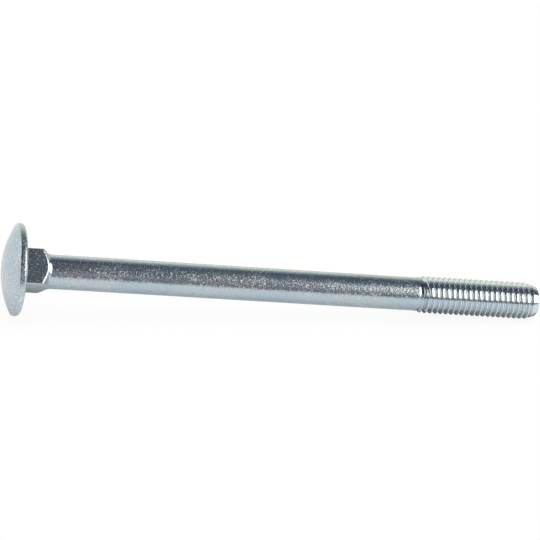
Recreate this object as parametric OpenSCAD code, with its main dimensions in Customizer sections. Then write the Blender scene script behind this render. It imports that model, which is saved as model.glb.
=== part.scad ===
// Metric carriage bolt: domed head, square neck, plain shank and a rolled thread.
// It lies as it comes to rest, on the rim of its head and the crests near its tip.

/* [Head] */
// Diameter of the domed head
head_d = 23.8; // [20:0.1:28]
// Height of the head from its seat to the top of the dome
head_h = 5; // [4:0.1:6.5]
// Radius between the dome and the rim
rim_round = 0.6; // [0.3:0.05:1.3]
// Length of the straight part of the rim
rim_flat = 0.5; // [0.1:0.05:0.8]
// Radius between the rim and the seat
seat_round = 0.85; // [0.2:0.05:1.1]

/* [Square neck] */
// Width across the flats of the neck
neck_w = 9.55; // [9.4:0.05:11]
// Rounding of the neck's four long corners
neck_corner_r = 0.5; // [0.2:0.05:1.2]
// Length of the full corners, from the seat
neck_len = 5; // [4:0.1:8]
// Angle between the corners' run-out and the bolt's axis
neck_slope = 50; // [35:1:65]
// Radius of the hollow that ends the run-out on the shank
neck_blend_r = 1.5; // [0.5:0.1:2.5]
// Fillet between the seat and the neck
neck_root_r = 0.4; // [0.2:0.05:0.8]
// Turn of the neck about the axis, as the bolt lies
neck_roll = 40.5; // [0:0.5:45]

/* [Thread] */
// Length of the bolt from its seat to its tip
bolt_len = 140; // [100:5:180]
// Diameter over the crests of the thread
thread_d = 9.85; // [9.7:0.01:10]
// Distance from one crest to the next
pitch = 1.5; // [1:0.25:1.75]
// Length of the thread, from the flat end to its run-out
thread_len = 32; // [20:1:60]
// Length over which the thread dies out on the shank
run_out = 3; // [1:0.5:5]
// Diameter at which the end's chamfer would meet the flat end
tip_d = 7.9; // [7:0.1:8.4]
// Length of the chamfer, from the crests to the flat end
tip_len = 3; // [2:0.1:4]
// Length of the chamfer that is left plain
tip_plain = 1.3; // [1.1:0.1:1.9]
// Radius between the chamfer and the flat end
tip_round = 0.5; // [0.2:0.05:0.6]

/* [Hidden] */
$fn = 128;

// A 60 degree thread, rolled on a shank as thick as its pitch diameter.
flank = 30;
crest_flat = pitch / 8;
root_flat = pitch / 6;
thread_depth = (pitch - crest_flat - root_flat) / 2 / tan(flank);
thread_r = thread_d / 2;
root_r = thread_r - thread_depth;
shank_r = (thread_d - 0.6495 * pitch) / 2;
tip_r = tip_d / 2;

// The thread's surface starts a little inside the plain shank and ends a little inside the plain tip.
thread_inset = 0.02;
thread_lap = 0.6;
thread_turn_steps = 48;
run_out_start = bolt_len - thread_len - run_out;
thread_start = run_out_start - thread_lap;
plain_start = bolt_len - tip_plain;
thread_end = plain_start + thread_lap;

// Tip: the chamfer's slope, and the centre of the round at its end.
tip_slope = (thread_r - tip_r) / tip_len;
tip_angle = atan(tip_slope);
tip_round_x = tip_r - tip_round * (1 - sin(tip_angle)) / cos(tip_angle);
tip_round_z = bolt_len - tip_round;

// Head: the dome is a ball cap, tangent to the round that joins it to the rim.
head_r = head_d / 2;
rim_x = head_r - rim_round;
rim_z = -seat_round - rim_flat;
rim_depth = head_h - rim_round;
dome_z = (rim_x * rim_x + rim_z * rim_z - rim_depth * rim_depth) / (2 * (rim_depth + rim_z));
dome_r = dome_z + head_h;
rim_angle = asin(rim_x / (dome_r - rim_round));

// Neck: corner radius from the axis, and the run-out down to the shank.
neck_corner_x = neck_w / 2 - neck_corner_r;
neck_reach = neck_corner_x * sqrt(2) + neck_corner_r;
blend_x = shank_r + neck_blend_r;
blend_foot_x = blend_x - neck_blend_r * cos(neck_slope);
blend_z = neck_len + (neck_reach - blend_foot_x) / tan(neck_slope) + neck_blend_r * sin(neck_slope);
blend_foot_z = blend_z - neck_blend_r * sin(neck_slope);

// Rest: the lowest line touches the seat's round and the last full crest.
rest_span = bolt_len - tip_len + seat_round;
rest_drop = head_r - seat_round - thread_r;
rest_tilt = atan2(rest_drop, rest_span) + asin(seat_round / norm([rest_span, rest_drop]));
rest_height = -seat_round * sin(rest_tilt) + (head_r - seat_round) * cos(rest_tilt) + seat_round;
rest_x_low = dome_z * cos(rest_tilt) - dome_r;
rest_x_high = tip_round_z * cos(rest_tilt) + tip_round_x * sin(rest_tilt) + tip_round;

// Half section of the head, with the dome at the bottom and the seat at height 0.
module head_section() {
    dome_side_h = head_h + rim_z + rim_flat / 2;
    intersection() {
        translate([0, dome_z]) circle(r = dome_r);
        translate([0, -head_h]) square([dome_r * sin(rim_angle), dome_side_h]);
    }
    intersection() {
        translate([rim_x, rim_z]) circle(r = rim_round);
        translate([0, -head_h]) square([head_d, dome_side_h]);
    }
    polygon([
        [0, 0],
        [0, rim_z],
        [head_r, rim_z],
        [head_r, -seat_round],
        [head_r - seat_round, -seat_round],
        [head_r - seat_round, 0]
    ]);
    translate([head_r - seat_round, -seat_round]) circle(r = seat_round);
}

// Half section of the turned shape under the head: corner circle, run-out, hollow and shank.
module shaft_section() {
    spare = 0.5;
    difference() {
        polygon([
            [0, -spare],
            [neck_reach + spare, -spare],
            [neck_reach + spare, neck_len - spare / tan(neck_slope)],
            [blend_foot_x, blend_foot_z],
            [blend_x, blend_z],
            [shank_r, blend_z],
            [shank_r, run_out_start],
            [0, run_out_start]
        ]);
        translate([blend_x, blend_z]) circle(r = neck_blend_r);
    }
}

// Square with rounded corners, the neck's cross-section.
module neck_square() {
    side = 2 * neck_corner_x;
    square([neck_w, side], center = true);
    square([side, neck_w], center = true);
    for (x = [-1, 1], y = [-1, 1]) {
        translate([x, y] * neck_corner_x) circle(r = neck_corner_r);
    }
}

// Hollow section that fills the corner between the neck (x = 0) and the seat (y = 0).
module root_section() {
    sunk = 0.1;
    difference() {
        translate([-sunk, -sunk]) square(neck_root_r + sunk);
        translate([neck_root_r, neck_root_r]) circle(r = neck_root_r);
    }
}

// Fillet round the foot of the neck: four straight lengths and four corners.
module neck_root() {
    for (turn = [0:90:270]) rotate([0, 0, turn]) {
        translate([neck_w / 2, neck_corner_x, 0]) rotate([90, 0, 0])
            linear_extrude(height = 2 * neck_corner_x) root_section();
        translate([neck_corner_x, neck_corner_x, 0]) rotate_extrude(angle = 90)
            translate([neck_corner_r, 0]) root_section();
    }
}

module head() {
    rotate_extrude() head_section();
}

// Neck and plain shank, turned as one shape and then squared along the neck.
module shaft() {
    sunk = 0.5;
    intersection() {
        rotate_extrude() shaft_section();
        union() {
            translate([0, 0, -sunk]) linear_extrude(height = sunk + blend_z) neck_square();
            translate([0, 0, blend_z]) cylinder(r = neck_reach, h = bolt_len);
        }
    }
}

// Share of the full thread at height z: nothing where the run-out starts, all where it ends.
function thread_share(z) =
    let (u = min(1, max(0, (z - run_out_start) / run_out)))
    u * u * (3 - 2 * u);

// Share of the groove's depth that is left at height z, near the tip.
function groove_share(z) =
    let (u = min(1, max(0, (plain_start - z) / pitch)))
    u * u * (3 - 2 * u);

// Largest radius at height z: the crests, and then the chamfer.
function outer_radius(z) = min(thread_r, tip_r - thread_inset + (bolt_len - z) * tip_slope);

// Radius of the thread at height z, on a crest line or a root line.
function thread_radius(z, crest) =
    let (
        blank = shank_r - thread_inset,
        outer = outer_radius(z),
        full = min(outer, blank + thread_share(z) * ((crest ? thread_r : root_r) - blank))
    )
    outer - groove_share(z) * (outer - full);

// The lines that wind along the thread: two for each crest and two for each root.
line_offsets = [-crest_flat / 2, crest_flat / 2, pitch / 2 - root_flat / 2, pitch / 2 + root_flat / 2];
lines_per_turn = len(line_offsets);
thread_turns = ceil((thread_end - thread_start) / pitch) + 2;
line_count = thread_turns * lines_per_turn;

// Height of a line after so many steps of a turn, kept between the two flat ends.
function line_height(line, step) =
    let (
        turn = floor(line / lines_per_turn) - 2,
        z = thread_start + (turn + step / thread_turn_steps) * pitch
            + line_offsets[line % lines_per_turn],
        snap = pitch / thread_turn_steps / 2
    )
    z < thread_start + snap ? thread_start : z > thread_end - snap ? thread_end : z;

function line_is_crest(line) = line % lines_per_turn < 2;

// One closed solid whose side winds as a right-hand thread from the shank to the plain tip.
module thread() {
    steps = [0:thread_turn_steps - 1];
    last_line = line_count + 2 * lines_per_turn - 1;
    heights = [for (step = steps) [for (line = [0:last_line]) line_height(line, step)]];
    first_used = [for (column = heights) max([for (i = [0:last_line]) if (column[i] == thread_start) i])];
    last_used = [for (column = heights) min([for (i = [0:last_line]) if (column[i] == thread_end) i])];
    points = [
        for (step = steps, line = [0:last_line])
        let (
            z = heights[step][line],
            r = thread_radius(z, line_is_crest(line)),
            angle = 360 * step / thread_turn_steps
        )
        [r * cos(angle), r * sin(angle), z]
    ];
    function point_index(line, step) =
        let (
            wraps = step == thread_turn_steps,
            column = wraps ? 0 : step,
            own_line = wraps ? line + lines_per_turn : line
        )
        column * (last_line + 1) + min(last_used[column], max(first_used[column], own_line));
    sides = [
        for (step = steps, line = [0:last_line - 1])
        let (
            low = point_index(line, step),
            high = point_index(line + 1, step),
            next_low = point_index(line, step + 1),
            next_high = point_index(line + 1, step + 1)
        )
        each [
            if (next_low != next_high) [low, next_high, next_low],
            if (low != high) [low, high, next_high]
        ]
    ];
    start_face = [for (step = steps) point_index(0, step)];
    end_face = [for (step = steps) point_index(last_line, thread_turn_steps - 1 - step)];
    polyhedron(points = points, faces = concat(sides, [start_face, end_face]));
}

// Half section of the plain tip: chamfer, round and flat end.
module tip_section() {
    polygon([
        [0, plain_start],
        [tip_r + tip_plain * tip_slope, plain_start],
        [tip_round_x + tip_round * cos(tip_angle), tip_round_z + tip_round * sin(tip_angle)],
        [tip_round_x, tip_round_z],
        [tip_round_x, bolt_len],
        [0, bolt_len]
    ]);
    translate([tip_round_x, tip_round_z]) circle(r = tip_round);
}

module tip() {
    rotate_extrude() tip_section();
}

// The whole bolt along its own axis: seat at height 0, dome below, tip above.
module upright_bolt() {
    head();
    rotate([0, 0, -neck_roll]) {
        shaft();
        neck_root();
    }
    thread();
    tip();
}

// The bolt as it lies: the tip points along +X and the origin is under the middle of it.
module carriage_bolt() {
    color("lightsteelblue")
        translate([-(rest_x_low + rest_x_high) / 2, 0, rest_height])
        rotate([0, 90 + rest_tilt, 0])
        upright_bolt();
}

carriage_bolt();
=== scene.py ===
"""A zinc-plated carriage bolt that lies on a pale floor, seen as in the photograph."""
import math

import bpy
from mathutils import Matrix, Vector


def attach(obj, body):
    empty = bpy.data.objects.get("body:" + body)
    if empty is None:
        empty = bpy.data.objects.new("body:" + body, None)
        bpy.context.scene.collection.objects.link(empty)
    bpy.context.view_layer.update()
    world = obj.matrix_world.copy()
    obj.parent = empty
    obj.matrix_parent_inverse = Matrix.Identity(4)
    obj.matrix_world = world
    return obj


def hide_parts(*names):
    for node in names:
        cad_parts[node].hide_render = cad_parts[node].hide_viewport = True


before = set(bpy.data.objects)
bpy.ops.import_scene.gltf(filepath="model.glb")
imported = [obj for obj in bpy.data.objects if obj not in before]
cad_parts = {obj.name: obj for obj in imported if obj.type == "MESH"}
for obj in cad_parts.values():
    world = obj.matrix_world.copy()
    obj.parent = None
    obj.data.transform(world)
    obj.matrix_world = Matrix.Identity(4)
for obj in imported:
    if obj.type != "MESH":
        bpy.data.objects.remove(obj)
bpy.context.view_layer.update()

# Sizes of the bolt in millimetres, as in its solid model. Places along its axis, s, count from the head's seat.
HEAD_D = 23.8
HEAD_H = 5.0
RIM_ROUND = 0.6
RIM_FLAT = 0.5
SEAT_ROUND = 0.85
NECK_W = 9.55
NECK_CORNER_R = 0.5
NECK_LEN = 5.0
NECK_SLOPE = math.radians(50)
NECK_BLEND_R = 1.5
NECK_ROOT_R = 0.4
NECK_ROLL = math.radians(40.5)
BOLT_LEN = 140.0
THREAD_D = 9.85
PITCH = 1.5
THREAD_LEN = 32.0
RUN_OUT = 3.0
TIP_D = 7.9
TIP_LEN = 3.0
TIP_PLAIN = 1.3
TIP_ROUND = 0.5

# What follows from them, by the same rules as in the solid model.
HEAD_R = HEAD_D / 2
RIM_X = HEAD_R - RIM_ROUND
RIM_S = -SEAT_ROUND - RIM_FLAT
RIM_DEPTH = HEAD_H - RIM_ROUND
DOME_S = (RIM_X ** 2 + RIM_S ** 2 - RIM_DEPTH ** 2) / (2 * (RIM_DEPTH + RIM_S))
DOME_R = DOME_S + HEAD_H
RIM_ANGLE = math.asin(RIM_X / (DOME_R - RIM_ROUND))
CREST_FLAT = PITCH / 8
ROOT_FLAT = PITCH / 6
FLANK = (PITCH - CREST_FLAT - ROOT_FLAT) / 2
THREAD_R = THREAD_D / 2
ROOT_R = THREAD_R - FLANK / math.tan(math.radians(30))
SHANK_R = (THREAD_D - 0.6495 * PITCH) / 2
TIP_R = TIP_D / 2
THREAD_START = BOLT_LEN - THREAD_LEN - RUN_OUT
PLAIN_START = BOLT_LEN - TIP_PLAIN
TIP_SLOPE = (THREAD_R - TIP_R) / TIP_LEN
TIP_ANGLE = math.atan(TIP_SLOPE)
TIP_ROUND_X = TIP_R - TIP_ROUND * (1 - math.sin(TIP_ANGLE)) / math.cos(TIP_ANGLE)
TIP_ROUND_S = BOLT_LEN - TIP_ROUND
NECK_CORNER_X = NECK_W / 2 - NECK_CORNER_R
NECK_REACH = NECK_CORNER_X * math.sqrt(2) + NECK_CORNER_R
BLEND_X = SHANK_R + NECK_BLEND_R
BLEND_FOOT_X = BLEND_X - NECK_BLEND_R * math.cos(NECK_SLOPE)
BLEND_FOOT_S = NECK_LEN + (NECK_REACH - BLEND_FOOT_X) / math.tan(NECK_SLOPE)
BLEND_S = BLEND_FOOT_S + NECK_BLEND_R * math.sin(NECK_SLOPE)

# How the bolt lies: it rests on the seat's round and on the last full crest.
REST_SPAN = BOLT_LEN - TIP_LEN + SEAT_ROUND
REST_DROP = HEAD_R - SEAT_ROUND - THREAD_R
REST_TILT = math.atan2(REST_DROP, REST_SPAN) + math.asin(SEAT_ROUND / math.hypot(REST_SPAN, REST_DROP))
REST_HEIGHT = -SEAT_ROUND * math.sin(REST_TILT) + (HEAD_R - SEAT_ROUND) * math.cos(REST_TILT) + SEAT_ROUND
REST_LOW = DOME_S * math.cos(REST_TILT) - DOME_R
REST_HIGH = TIP_ROUND_S * math.cos(REST_TILT) + TIP_ROUND_X * math.sin(REST_TILT) + TIP_ROUND

# How many columns go round a flat and a corner of the neck, and how many rows of the mesh each part takes.
FLAT_COLUMNS = 16
CORNER_COLUMNS = 8
DOME_ROWS = 24
RIM_ROWS = 12
SEAT_ROUND_ROWS = 10
SEAT_ROWS = 4
NECK_ROOT_ROWS = 6
NECK_WALL_ROWS = 6
SHANK_ROWS = 24
CHAMFER_ROWS = 4
TIP_ROUND_ROWS = 8

# Share of the flat end's radius at which its only inner row stands.
TIP_INNER = 0.6

# The neck's rows stand closer from a little before its run-out, in millimetres.
NECK_CLOSE_LEAD = 0.5
NECK_CLOSE_STEP = 0.075

# Shares of the pitch, counted from a crest, at which the mesh has a line along the thread.
THREAD_PHASES = (0, 0.045, 0.08, 0.12, 0.22, 0.32, 0.39, 0.44, 0.5, 0.56, 0.61, 0.68, 0.78, 0.88, 0.92, 0.955)

# Turns that the lines are wound past either end of the thread, and how near to an end a point joins it, in mm.
SPARE_TURNS = 2
THREAD_SNAP = 0.006

# Where the thread's grooves end before the plain tip, in millimetres, and the turn that the thread starts at.
GROOVE_END = 0.5
THREAD_TURN = math.radians(195)

# How widely edges are softened: millimetres on the neck and the chamfer, shares of the thread's height on the thread.
EDGE_SOFTNESS = 0.38
CHAMFER_SOFTNESS = 0.06
LEAST_SOFTNESS = 0.001
CREST_SOFTNESS = 0.12
ROOT_SOFTNESS = 0.2

# The plating's noises: scale over a metre, detail, and for the grains the noise's own roughness.
GRAIN_NOISE = (1700, 4, 0.7)
PATCH_NOISE = (130, 1)
TINT_NOISE = (110, 3)
WAVE_NOISE = (600, 2)
PATCH_AMOUNT = 0.22

# The plating's colours. The tints go with the tint noise, and the sparkle comes in between two grain values.
TINTS = ((0.30, (0.41, 0.50, 0.55)), (0.50, (0.46, 0.52, 0.555)),
         (0.60, (0.465, 0.535, 0.56)), (0.72, (0.50, 0.52, 0.57)))
SPARKLE = (0.78, 0.82, 0.85)
SPARKLE_FROM, SPARKLE_FULL = 0.71, 0.84
THREAD_COLOR = (0.60, 0.66, 0.695)

# Roughness of the plate up to one grain value and of the grains from another, and the bumps' heights in metres.
PLATE_END, GRAIN_START = 0.61, 0.74
PLATE_ROUGHNESS, GRAIN_ROUGHNESS = 0.13, 0.49
GRAIN_HEIGHT = 0.00006
WAVE_HEIGHT = 0.00003

# Stretches along X, in metres: where the grains end at the rolled thread, and where they change behind the head.
ROLLED_STRETCH = (0.0393, 0.0407)
NECK_STRETCH = (-0.0727, -0.0573)

# What the grain value gains over the zero level: on the head, at the neck's foot and from the neck's end on. Each
# pair holds a share of the second stretch and a level.
GRAIN_LEVELS = ((0.33, 0.58), (0.35, 0.40), (0.72, 0.50))
GRAIN_LEVEL_ZERO = 0.5

# Half the floor's width in metres, its grey, and the share of it that glows, for the camera and for the metal.
FLOOR_HALF = 6.0
FLOOR_GREY = 0.92
FLOOR_GLOW = 0.92
FLOOR_GLOW_IN_METAL = 0.3

# The studio's cards. Lengths are in metres. Height angles are in degrees, from the floor in front up and over.
ARC_STEPS = 40
CARD_LIFT = 0.0008
ROOM_RADIUS = 1.2
ROOM_PART_RADIUS = 1.195
LOW_ROOM_RADIUS = 1.19
BACK_RADIUS = 1.18
CLOTH_RADIUS = 1.16
BOX_RADIUS = 1.1
ROOM_NEAR, ROOM_MIDDLE, ROOM_FAR = -1.3, 0.195, 9
ROOM_RISE = (0.1, 145)
ROOM_FLOOR_EDGE = -0.085
LOW_ROOM_JOINT = 0.36
BACK_NEAR, BACK_JOINT = -1.2, 0.40
DARK = (0.065, 0.07, 0.09)
DIM = (0.17, 0.19, 0.225)
FAR_GREY = (0.11, 0.13, 0.165)
MIDDLE_GREY = (0.30, 0.33, 0.375)
LOW_GREY_LEFT = (0.42, 0.45, 0.49)
LOW_GREY_RIGHT = (0.24, 0.26, 0.29)
RED_CLOTH = (0.34, 0.18, 0.21)
BOX_GLOW = (4.6, 4.35, 4.1)
BOX_EDGE_GLOW = (2.9, 2.75, 2.6)
LEFT_BOX_GLOW = (2.0, 2.0, 2.0)

# The right box, in steps: two height angles, and where it starts between them. Its first part is a fainter edge.
BOX_STEPS = ((12, 19, 0.72), (19, 27, 0.64), (27, 36, 0.59), (36, 44, 0.56), (44, 52, 0.52),
             (52, 60, 0.55), (60, 68, 0.59), (68, 74, 0.63), (74, 80, 0.70), (80, 84, 0.80))
BOX_EDGE = 0.12
BOX_END = 2.3

# The band behind: two height angles and the glow between them, towards the head and towards the tip.
BACK_LEFT = ((150, 176, (1.12, 1.15, 0.94)), (141, 150, (0.82, 0.85, 0.81)), (131, 141, (0.58, 0.62, 0.64)),
             (121, 131, (0.34, 0.37, 0.41)), (112, 121, (0.14, 0.155, 0.19)))
BACK_RIGHT = ((150, 176, (0.85, 0.87, 0.63)), (141, 150, (0.62, 0.67, 0.65)), (131, 141, (0.24, 0.29, 0.39)),
              (121, 131, (0.16, 0.20, 0.28)))

# Painted shade: cards over the floor, seen only in the metal, that stand for its shade close under the bolt and,
# fainter, behind it: two corners, and the glow.
BY_NECK = ((-0.066, 0.0014), (-0.056, 0.0018), (0.62, 0.68, 0.67))
UNDER_NECK = ((-0.066, 0.0018), (-0.056, 0.03), (0.27, 0.31, 0.30))
UNDER_SHANK = ((-0.056, -0.003), (0.039, 0.03), (0.60, 0.66, 0.67))
PAINTED_SHADE_BEHIND = ((-0.04, 0.035), (0.5, 1.1), (0.70, 0.73, 0.57))

# Under the thread the painted shade deepens in steps from front to back: two places along Y, and the red of the glow.
UNDER_THREAD = ((-0.0042, -0.0032, 0.62), (-0.0032, -0.0022, 0.40), (-0.0022, -0.0010, 0.23), (-0.0010, 0.03, 0.15))
UNDER_THREAD_REACH = (0.039, 0.08)
UNDER_THREAD_GREEN, UNDER_THREAD_BLUE = 1.06, 1.04

# The lamp over the bolt, in metres and watts, and the world's soft light on what isn't polished.
LAMP_SIZE = 1.6
LAMP_ENERGY = 10.5
LAMP_PLACE = (0.2, 0.3, 1.5)
SOFT_LIGHT = (0.95, 0.97, 1)
SOFT_STRENGTH = 0.9

# The camera, from a fit to the bolt's outline in the photograph. Its distance is in millimetres.
PHOTO_SIZE = 540
FOCAL_PIXELS = 2300
SEAT_PIXEL = (21.04, 269.82)
SEAT_DISTANCE = 587.2
AXIS_LEAN = math.radians(14.73)
AXIS_DIP = math.radians(3.625)
CAMERA_ELEVATION = math.radians(25)
SENSOR_WIDTH = 36
CLIP_START = 0.01

MM = 0.001


def lying(s, radius, angle):
    """The place in the row frame, in metres, of a point given along and around the bolt's axis."""
    turn = angle - NECK_ROLL
    across, level = radius * math.cos(turn), radius * math.sin(turn)
    x = s * math.cos(REST_TILT) - across * math.sin(REST_TILT) - (REST_LOW + REST_HIGH) / 2
    z = -s * math.sin(REST_TILT) - across * math.cos(REST_TILT) + REST_HEIGHT
    return Vector((x, level, z)) * MM


def place_camera():
    """Puts the camera where the fit says, at an elevation that the floor's reflection agrees with."""
    lean, dip, rise = AXIS_LEAN, AXIS_DIP, CAMERA_ELEVATION
    axis = Vector((math.cos(lean) * math.cos(dip), -math.cos(lean) * math.sin(dip), -math.sin(lean)))
    along, up = axis.x * math.cos(rise), axis.y * math.cos(rise)
    wanted = -math.sin(REST_TILT) - axis.z * math.sin(rise)
    roll = math.asin(wanted / math.hypot(along, up)) - math.atan2(up, along)
    world_z = Vector((math.cos(rise) * math.sin(roll), math.cos(rise) * math.cos(roll), math.sin(rise)))
    world_x = (axis - axis.dot(world_z) * world_z).normalized()
    turn = Matrix((world_x, world_z.cross(world_x), world_z))
    middle = PHOTO_SIZE / 2
    scale = SEAT_DISTANCE / FOCAL_PIXELS
    seat = Vector(((SEAT_PIXEL[0] - middle) * scale, (middle - SEAT_PIXEL[1]) * scale, -SEAT_DISTANCE)) * MM
    data = bpy.data.cameras.new("photo_camera")
    data.sensor_width = SENSOR_WIDTH
    data.lens = FOCAL_PIXELS * data.sensor_width / PHOTO_SIZE
    data.clip_start = CLIP_START
    camera = bpy.data.objects.new("photo_camera", data)
    camera.matrix_world = Matrix.Translation(lying(0, 0, 0) - turn @ seat) @ turn.to_4x4()
    bpy.context.scene.collection.objects.link(camera)
    bpy.context.scene.camera = camera


def neck_columns():
    """Angle and radius of points round the neck's outline, which all rows of the mesh share."""
    quarter = []
    for i in range(FLAT_COLUMNS):
        quarter.append((NECK_W / 2, NECK_CORNER_X * (2 * i / FLAT_COLUMNS - 1)))
    for i in range(CORNER_COLUMNS):
        turn = math.pi / 2 * i / CORNER_COLUMNS
        quarter.append((NECK_CORNER_X + NECK_CORNER_R * math.cos(turn),
                        NECK_CORNER_X + NECK_CORNER_R * math.sin(turn)))
    return [(math.atan2(y, x) + k * math.pi / 2, math.hypot(x, y)) for k in range(4) for x, y in quarter]


def soft_min(a, b, width):
    """The smaller of two values, with a rounded change from one to the other."""
    share = max(width - abs(a - b), 0) / width
    return min(a, b) - share * share * width / 4


def smooth_step(u):
    """0 up to u = 0, 1 from u = 1, and a smooth change between."""
    u = min(1, max(0, u))
    return u * u * (3 - 2 * u)


def head_rows():
    """(s, radius) of the rows from next to the dome's top to the seat's edge."""
    rows = []
    for i in range(1, DOME_ROWS + 1):
        turn = RIM_ANGLE * i / DOME_ROWS
        rows.append((DOME_S - DOME_R * math.cos(turn), DOME_R * math.sin(turn)))
    for i in range(1, RIM_ROWS + 1):
        turn = RIM_ANGLE - math.pi / 2 + (math.pi / 2 - RIM_ANGLE) * i / RIM_ROWS
        rows.append((RIM_S + RIM_ROUND * math.sin(turn), RIM_X + RIM_ROUND * math.cos(turn)))
    for i in range(SEAT_ROUND_ROWS + 1):
        turn = math.pi / 2 * i / SEAT_ROUND_ROWS
        rows.append((-SEAT_ROUND + SEAT_ROUND * math.sin(turn), HEAD_R - SEAT_ROUND + SEAT_ROUND * math.cos(turn)))
    return rows


def turned_radius(s):
    """Radius of the run-out and the hollow between the neck's corners and the shank."""
    if s < BLEND_FOOT_S:
        return NECK_REACH + (NECK_LEN - s) * math.tan(NECK_SLOPE)
    if s < BLEND_S:
        return BLEND_X - math.sqrt(NECK_BLEND_R ** 2 - (BLEND_S - s) ** 2)
    return SHANK_R


def neck_places():
    """Places along the axis of the rows from the neck's root to next to the shank."""
    close = NECK_LEN - NECK_CLOSE_LEAD
    places = [NECK_ROOT_R + (close - NECK_ROOT_R) * i / NECK_WALL_ROWS for i in range(1, NECK_WALL_ROWS + 1)]
    rows = math.ceil((BLEND_S - close) / NECK_CLOSE_STEP)
    return places + [close + NECK_CLOSE_STEP * i for i in range(1, rows)]


def thread_shape(phase):
    """Height of the thread's profile, from 0 at the root to 1 at the crest, at a share of the pitch."""
    away = min(phase, 1 - phase) * PITCH
    height = 1 - (away - CREST_FLAT / 2) / FLANK
    return -soft_min(-soft_min(height, 1, CREST_SOFTNESS), 0, ROOT_SOFTNESS)


def thread_radius(s, phase):
    """Radius of the thread's surface."""
    full = ROOT_R + (THREAD_R - ROOT_R) * thread_shape(phase)
    chamfer = TIP_R + (BOLT_LEN - s) * TIP_SLOPE
    share = smooth_step((s - THREAD_START) / RUN_OUT)
    rolled = SHANK_R + share * share * (full - SHANK_R)
    groove = smooth_step((PLAIN_START - s) / GROOVE_END)
    outer = soft_min(THREAD_R, chamfer, CHAMFER_SOFTNESS)
    return outer - groove * (outer - soft_min(rolled, chamfer, CHAMFER_SOFTNESS * groove + LEAST_SOFTNESS))


def add_thread_column(verts, angle, first):
    """Adds the points of one column of the thread, and returns each line's point and the last point."""
    share = ((angle + THREAD_TURN) / (2 * math.pi)) % 1
    turns = math.ceil((PLAIN_START - THREAD_START) / PITCH)
    indices, last = [], None
    for turn in range(-SPARE_TURNS, turns + SPARE_TURNS):
        for phase in THREAD_PHASES:
            s = THREAD_START + (turn + phase + share) * PITCH
            if s < THREAD_START + THREAD_SNAP:
                indices.append(first)
            elif s > PLAIN_START - THREAD_SNAP:
                if last is None:
                    verts.append(lying(PLAIN_START, TIP_R + TIP_PLAIN * TIP_SLOPE, angle))
                    last = len(verts) - 1
                indices.append(last)
            else:
                verts.append(lying(s, thread_radius(s, phase), angle))
                indices.append(len(verts) - 1)
    return indices, last


def add_thread(verts, faces, angles, first_ring):
    """Winds the thread's lines from a ring of the shank to the plain tip, and returns the last ring."""
    wound = [add_thread_column(verts, angle, first) for angle, first in zip(angles, first_ring)]
    total = len(angles)
    for j in range(total):
        k = (j + 1) % total
        wraps = (angles[k] + THREAD_TURN) % (2 * math.pi) < (angles[j] + THREAD_TURN) % (2 * math.pi)
        shift = len(THREAD_PHASES) if wraps else 0
        here, after = wound[j][0], wound[k][0]
        last = len(here) - 1
        for line in range(last):
            corners = [here[line], after[min(line + shift, last)], after[min(line + 1 + shift, last)], here[line + 1]]
            face = [vert for i, vert in enumerate(corners) if vert != corners[i - 1]]
            if len(face) >= 3:
                faces.append(face)
    return [last for _, last in wound]


def tip_rows():
    """(s, radius) of the rows of the plain tip: chamfer, round and flat end."""
    edge_s = TIP_ROUND_S + TIP_ROUND * math.sin(TIP_ANGLE)
    rows = []
    for i in range(1, CHAMFER_ROWS + 1):
        s = PLAIN_START + (edge_s - PLAIN_START) * i / CHAMFER_ROWS
        rows.append((s, TIP_R + (BOLT_LEN - s) * TIP_SLOPE))
    for i in range(1, TIP_ROUND_ROWS + 1):
        turn = TIP_ANGLE + (math.pi / 2 - TIP_ANGLE) * i / TIP_ROUND_ROWS
        rows.append((TIP_ROUND_S + TIP_ROUND * math.sin(turn), TIP_ROUND_X + TIP_ROUND * math.cos(turn)))
    rows.append((BOLT_LEN, TIP_ROUND_X * TIP_INNER))
    return rows


def bolt_mesh():
    """The whole bolt as one closed mesh."""
    columns = neck_columns()
    total = len(columns)
    verts, faces = [lying(-HEAD_H, 0, 0)], []
    rings = []

    def add_ring(places):
        rings.append(list(range(len(verts), len(verts) + total)))
        verts.extend(lying(s, r, angle) for (s, r), (angle, _) in zip(places, columns))

    def join_rings():
        for low, high in zip(rings, rings[1:]):
            for j in range(total):
                k = (j + 1) % total
                faces.append([low[j], low[k], high[k], high[j]])

    for s, r in head_rows():
        add_ring([(s, r)] * total)
    edge = HEAD_R - SEAT_ROUND
    for i in range(1, SEAT_ROWS + 1):
        add_ring([(0, edge + (reach + NECK_ROOT_R - edge) * i / SEAT_ROWS) for _, reach in columns])
    for i in range(1, NECK_ROOT_ROWS + 1):
        turn = math.pi / 2 * i / NECK_ROOT_ROWS
        add_ring([(NECK_ROOT_R * (1 - math.cos(turn)), reach + NECK_ROOT_R * (1 - math.sin(turn)))
                  for _, reach in columns])
    for s in neck_places():
        add_ring([(s, soft_min(reach, turned_radius(s), EDGE_SOFTNESS)) for _, reach in columns])
    for i in range(SHANK_ROWS + 1):
        add_ring([(BLEND_S + (THREAD_START - BLEND_S) * i / SHANK_ROWS, SHANK_R)] * total)
    for j in range(total):
        faces.append([0, rings[0][(j + 1) % total], rings[0][j]])
    join_rings()

    rings = [add_thread(verts, faces, [angle for angle, _ in columns], rings[-1])]
    for s, r in tip_rows():
        add_ring([(s, r)] * total)
    join_rings()
    verts.append(lying(BOLT_LEN, 0, 0))
    for j in range(total):
        faces.append([rings[-1][j], rings[-1][(j + 1) % total], len(verts) - 1])

    mesh = bpy.data.meshes.new("bolt")
    mesh.from_pydata(verts, [], faces)
    mesh.validate()
    mesh.polygons.foreach_set("use_smooth", [True] * len(mesh.polygons))
    mesh.update()
    return mesh


def feed(tree, socket, value):
    """Links an output to an input, or gives the input a plain value."""
    if isinstance(value, bpy.types.NodeSocket):
        tree.links.new(value, socket)
    else:
        socket.default_value = value


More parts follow.
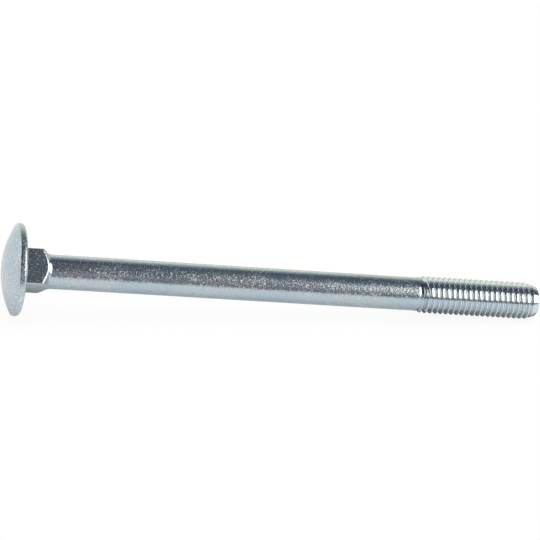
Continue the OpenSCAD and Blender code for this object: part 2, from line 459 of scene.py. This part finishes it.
def add_node(tree, kind, **inputs):
    """A node with some of its inputs fed. Their names have underscores for spaces."""
    node = tree.nodes.new(kind)
    for name, value in inputs.items():
        feed(tree, node.inputs[name.replace("_", " ")], value)
    return node


def add_math(tree, operation, *values):
    """The output of a math node, from numbers and other outputs."""
    node = tree.nodes.new("ShaderNodeMath")
    node.operation = operation
    for socket, value in zip(node.inputs, values):
        feed(tree, socket, value)
    return node.outputs[0]


def add_ramp(tree, share, stops):
    """The output of a colour ramp. A stop has a position, and a colour or a grey level."""
    node = add_node(tree, "ShaderNodeValToRGB", Fac=share)
    stops = [(place, (*color, 1) if isinstance(color, tuple) else (color, color, color, 1)) for place, color in stops]
    elements = node.color_ramp.elements
    elements[0].position, elements[0].color = stops[0]
    elements[1].position, elements[1].color = stops[-1]
    for position, color in stops[1:-1]:
        elements.new(position).color = color
    return node.outputs["Color"]


def add_blend(tree, share, first, second):
    """The output of a node that mixes two colours."""
    node = tree.nodes.new("ShaderNodeMix")
    node.data_type = "RGBA"
    feed(tree, node.inputs["Factor"], share)
    for socket, color in zip([socket for socket in node.inputs if socket.type == "RGBA"], (first, second)):
        feed(tree, socket, (*color, 1) if isinstance(color, tuple) else color)
    return next(socket for socket in node.outputs if socket.type == "RGBA")


def zinc():
    """Bright zinc plating: rough grains on a smoother plate, and a plain surface where the thread is rolled."""
    material = bpy.data.materials.new("zinc_plate")
    material.use_nodes = True
    tree = material.node_tree
    shader = tree.nodes["Principled BSDF"]
    shader.inputs["Metallic"].default_value = 1
    place = tree.nodes.new("ShaderNodeTexCoord").outputs["Object"]
    along = add_node(tree, "ShaderNodeSeparateXYZ", Vector=place).outputs["X"]

    def noise(scale, detail, rough=0.5):
        node = add_node(tree, "ShaderNodeTexNoise", Vector=place, Scale=scale, Detail=detail, Roughness=rough)
        return node.outputs["Fac"]

    def stretch(ends, first, last):
        node = add_node(tree, "ShaderNodeMapRange", Value=along, From_Min=ends[0], From_Max=ends[1],
                        To_Min=first, To_Max=last)
        return node.outputs["Result"]

    unrolled = stretch(ROLLED_STRETCH, 1, 0)
    grain = add_math(tree, "MULTIPLY_ADD", noise(*PATCH_NOISE), PATCH_AMOUNT, noise(*GRAIN_NOISE))
    grain = add_math(tree, "ADD", grain, add_ramp(tree, stretch(NECK_STRETCH, 0, 1), GRAIN_LEVELS))
    grain = add_math(tree, "SUBTRACT", grain, GRAIN_LEVEL_ZERO)
    grain = add_math(tree, "MULTIPLY", grain, unrolled)

    tints = add_ramp(tree, noise(*TINT_NOISE), TINTS)
    sparkle = add_ramp(tree, grain, ((SPARKLE_FROM, 0), (SPARKLE_FULL, 1)))
    plate = add_blend(tree, sparkle, tints, SPARKLE)
    feed(tree, shader.inputs["Base Color"], add_blend(tree, unrolled, THREAD_COLOR, plate))
    roughness = add_ramp(tree, grain, ((PLATE_END, PLATE_ROUGHNESS), (GRAIN_START, GRAIN_ROUGHNESS)))
    feed(tree, shader.inputs["Roughness"], roughness)
    grains = add_node(tree, "ShaderNodeBump", Strength=1, Distance=GRAIN_HEIGHT, Height=grain)
    waves = add_node(tree, "ShaderNodeBump", Strength=1, Distance=WAVE_HEIGHT, Height=noise(*WAVE_NOISE),
                     Normal=grains.outputs["Normal"])
    feed(tree, shader.inputs["Normal"], waves.outputs["Normal"])
    return material


def add_bolt():
    """The bolt, in place of its solid."""
    bolt = bpy.data.objects.new("bolt", bolt_mesh())
    bpy.context.scene.collection.objects.link(bolt)
    bolt.data.materials.append(zinc())
    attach(bolt, "root")
    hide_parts("carriage_bolt")


def add_mix(tree, share, first, second):
    """The output of a node that mixes two shaders."""
    mix = add_node(tree, "ShaderNodeMixShader", Fac=share)
    tree.links.new(first, mix.inputs[1])
    tree.links.new(second, mix.inputs[2])
    return mix.outputs["Shader"]


def floor_material():
    """Pale and lit from within for what sees it, so that it stays near white and keeps a soft shadow."""
    material = bpy.data.materials.new("pale_floor")
    material.use_nodes = True
    tree = material.node_tree
    tree.nodes.clear()
    matte = add_node(tree, "ShaderNodeBsdfDiffuse", Color=(FLOOR_GREY, FLOOR_GREY, FLOOR_GREY, 1))
    glow = add_node(tree, "ShaderNodeEmission", Color=(1, 1, 1, 1))
    path = tree.nodes.new("ShaderNodeLightPath")
    share = add_math(tree, "MULTIPLY", path.outputs["Is Camera Ray"], FLOOR_GLOW)
    share = add_math(tree, "MULTIPLY_ADD", path.outputs["Is Glossy Ray"], FLOOR_GLOW_IN_METAL, share)
    surface = add_mix(tree, share, matte.outputs["BSDF"], glow.outputs["Emission"])
    add_node(tree, "ShaderNodeOutputMaterial", Surface=surface)
    return material


def add_floor():
    """The floor that the bolt lies on."""
    half = FLOOR_HALF
    mesh = bpy.data.meshes.new("floor")
    mesh.from_pydata([(-half, -half, 0), (half, -half, 0), (half, half, 0), (-half, half, 0)], [], [(0, 1, 2, 3)])
    floor = bpy.data.objects.new("floor", mesh)
    floor.data.materials.append(floor_material())
    bpy.context.scene.collection.objects.link(floor)


def add_card(name, verts, faces, glow):
    """A studio card that only the metal's reflections show."""
    mesh = bpy.data.meshes.new(name)
    mesh.from_pydata(verts, [], faces)
    card = bpy.data.objects.new(name, mesh)
    material = bpy.data.materials.new(name)
    material.use_nodes = True
    tree = material.node_tree
    tree.nodes.clear()
    emission = add_node(tree, "ShaderNodeEmission", Color=(*glow, 1))
    add_node(tree, "ShaderNodeOutputMaterial", Surface=emission.outputs["Emission"])
    card.data.materials.append(material)
    card.visible_camera = False
    card.visible_diffuse = False
    card.visible_shadow = False
    card.visible_transmission = False
    card.visible_volume_scatter = False
    bpy.context.scene.collection.objects.link(card)


def arc_card(name, radius, reach, rise, glow, floor_edge=None):
    """A card bent round the X axis between two height angles, which may go on over the floor to an edge."""
    low, high = (math.radians(angle) for angle in rise)
    turns = [low + (high - low) * i / ARC_STEPS for i in range(ARC_STEPS + 1)]
    bend = [(-radius * math.cos(turn), radius * math.sin(turn)) for turn in turns]
    if floor_edge is not None:
        bend.insert(0, (floor_edge, CARD_LIFT))
    verts = [(x, y, z) for y, z in bend for x in reach]
    faces = [(2 * i, 2 * i + 1, 2 * i + 3, 2 * i + 2) for i in range(len(bend) - 1)]
    add_card(name, verts, faces, glow)


def upright_card(name, start, end, height, glow):
    """A flat card that stands on the floor between two places."""
    foot = [(*start, CARD_LIFT), (*end, CARD_LIFT)]
    verts = foot + [(x, y, height) for x, y, _ in reversed(foot)]
    add_card(name, verts, [(0, 1, 2, 3)], glow)


def floor_card(name, low, high, glow):
    """A flat card close over the floor, between two corners."""
    corners = [(low[0], low[1]), (high[0], low[1]), (high[0], high[1]), (low[0], high[1])]
    add_card(name, [(x, y, CARD_LIFT / 2) for x, y in corners], [(0, 1, 2, 3)], glow)


def add_studio():
    """What the metal mirrors: a dark room in front and above, boxes, a cloth, a band behind, and cards that paint the
    floor's shade.
    """
    arc_card("dark_room", ROOM_RADIUS, (ROOM_NEAR, ROOM_MIDDLE), ROOM_RISE, DARK, ROOM_FLOOR_EDGE)
    arc_card("dim_room", ROOM_RADIUS, (ROOM_MIDDLE, ROOM_FAR), ROOM_RISE, DIM, ROOM_FLOOR_EDGE)
    arc_card("far_room", ROOM_PART_RADIUS, (0.39, ROOM_FAR), (45, 122), FAR_GREY)
    upright_card("dark_wall", (ROOM_NEAR, -ROOM_RADIUS), (ROOM_NEAR, 0.35), ROOM_RADIUS, DARK)
    arc_card("mid_room", ROOM_PART_RADIUS, (ROOM_MIDDLE, LOW_ROOM_JOINT), (45, 96), MIDDLE_GREY)
    arc_card("low_room_left", LOW_ROOM_RADIUS, (ROOM_NEAR, LOW_ROOM_JOINT), (1, 32), LOW_GREY_LEFT)
    arc_card("low_room_right", LOW_ROOM_RADIUS, (LOW_ROOM_JOINT, ROOM_FAR), (1, 30), LOW_GREY_RIGHT)
    arc_card("red_cloth", CLOTH_RADIUS, (0.17, 0.32), (2, 42), RED_CLOTH)
    for low, high, start in BOX_STEPS:
        arc_card("right_box_edge", BOX_RADIUS, (start, start + BOX_EDGE), (low, high), BOX_EDGE_GLOW)
        arc_card("right_box", BOX_RADIUS, (start + BOX_EDGE, BOX_END), (low, high), BOX_GLOW)
    for low, high, glow in BACK_LEFT:
        arc_card("back_left", BACK_RADIUS, (BACK_NEAR, BACK_JOINT), (low, high), glow)
    for low, high, glow in BACK_RIGHT:
        arc_card("back_right", BACK_RADIUS, (BACK_JOINT, ROOM_FAR), (low, high), glow)
    upright_card("left_box", (-1.2, 0.37), (-1.15, 0.62), 0.6, LEFT_BOX_GLOW)
    # Painted shade: dark glowing cards over the floor, seen only in the metal, stand for the floor's shade under and
    # behind the bolt.
    floor_card("painted_shade_by_neck", *BY_NECK)
    floor_card("painted_shade_under_neck", *UNDER_NECK)
    floor_card("painted_shade_under_shank", *UNDER_SHANK)
    start, end = UNDER_THREAD_REACH
    for near, far, red in UNDER_THREAD:
        glow = (red, red * UNDER_THREAD_GREEN, red * UNDER_THREAD_BLUE)
        floor_card("painted_shade_under_thread", (start, near), (end, far), glow)
    floor_card("behind", *PAINTED_SHADE_BEHIND)


def add_light():
    """One soft lamp that no reflection shows, and a world that is white where it is seen or mirrored."""
    lamp = bpy.data.lights.new("soft_top", "AREA")
    lamp.shape = "DISK"
    lamp.size = LAMP_SIZE
    lamp.energy = LAMP_ENERGY
    light = bpy.data.objects.new("soft_top", lamp)
    light.location = LAMP_PLACE
    light.rotation_euler = (Vector((0, 0, 0)) - light.location).to_track_quat("-Z", "Y").to_euler()
    light.visible_glossy = False
    bpy.context.scene.collection.objects.link(light)

    world = bpy.data.worlds.new("studio")
    bpy.context.scene.world = world
    world.use_nodes = True
    tree = world.node_tree
    tree.nodes.clear()
    soft = add_node(tree, "ShaderNodeBackground", Color=(*SOFT_LIGHT, 1), Strength=SOFT_STRENGTH)
    white = add_node(tree, "ShaderNodeBackground", Color=(1, 1, 1, 1))
    path = tree.nodes.new("ShaderNodeLightPath")
    seen = add_math(tree, "MAXIMUM", path.outputs["Is Camera Ray"], path.outputs["Is Glossy Ray"])
    seen = add_math(tree, "MAXIMUM", seen, path.outputs["Is Transmission Ray"])
    surface = add_mix(tree, seen, soft.outputs["Background"], white.outputs["Background"])
    add_node(tree, "ShaderNodeOutputWorld", Surface=surface)


place_camera()
add_bolt()
add_floor()
add_studio()
add_light()
bpy.context.scene.view_settings.view_transform = "Standard"
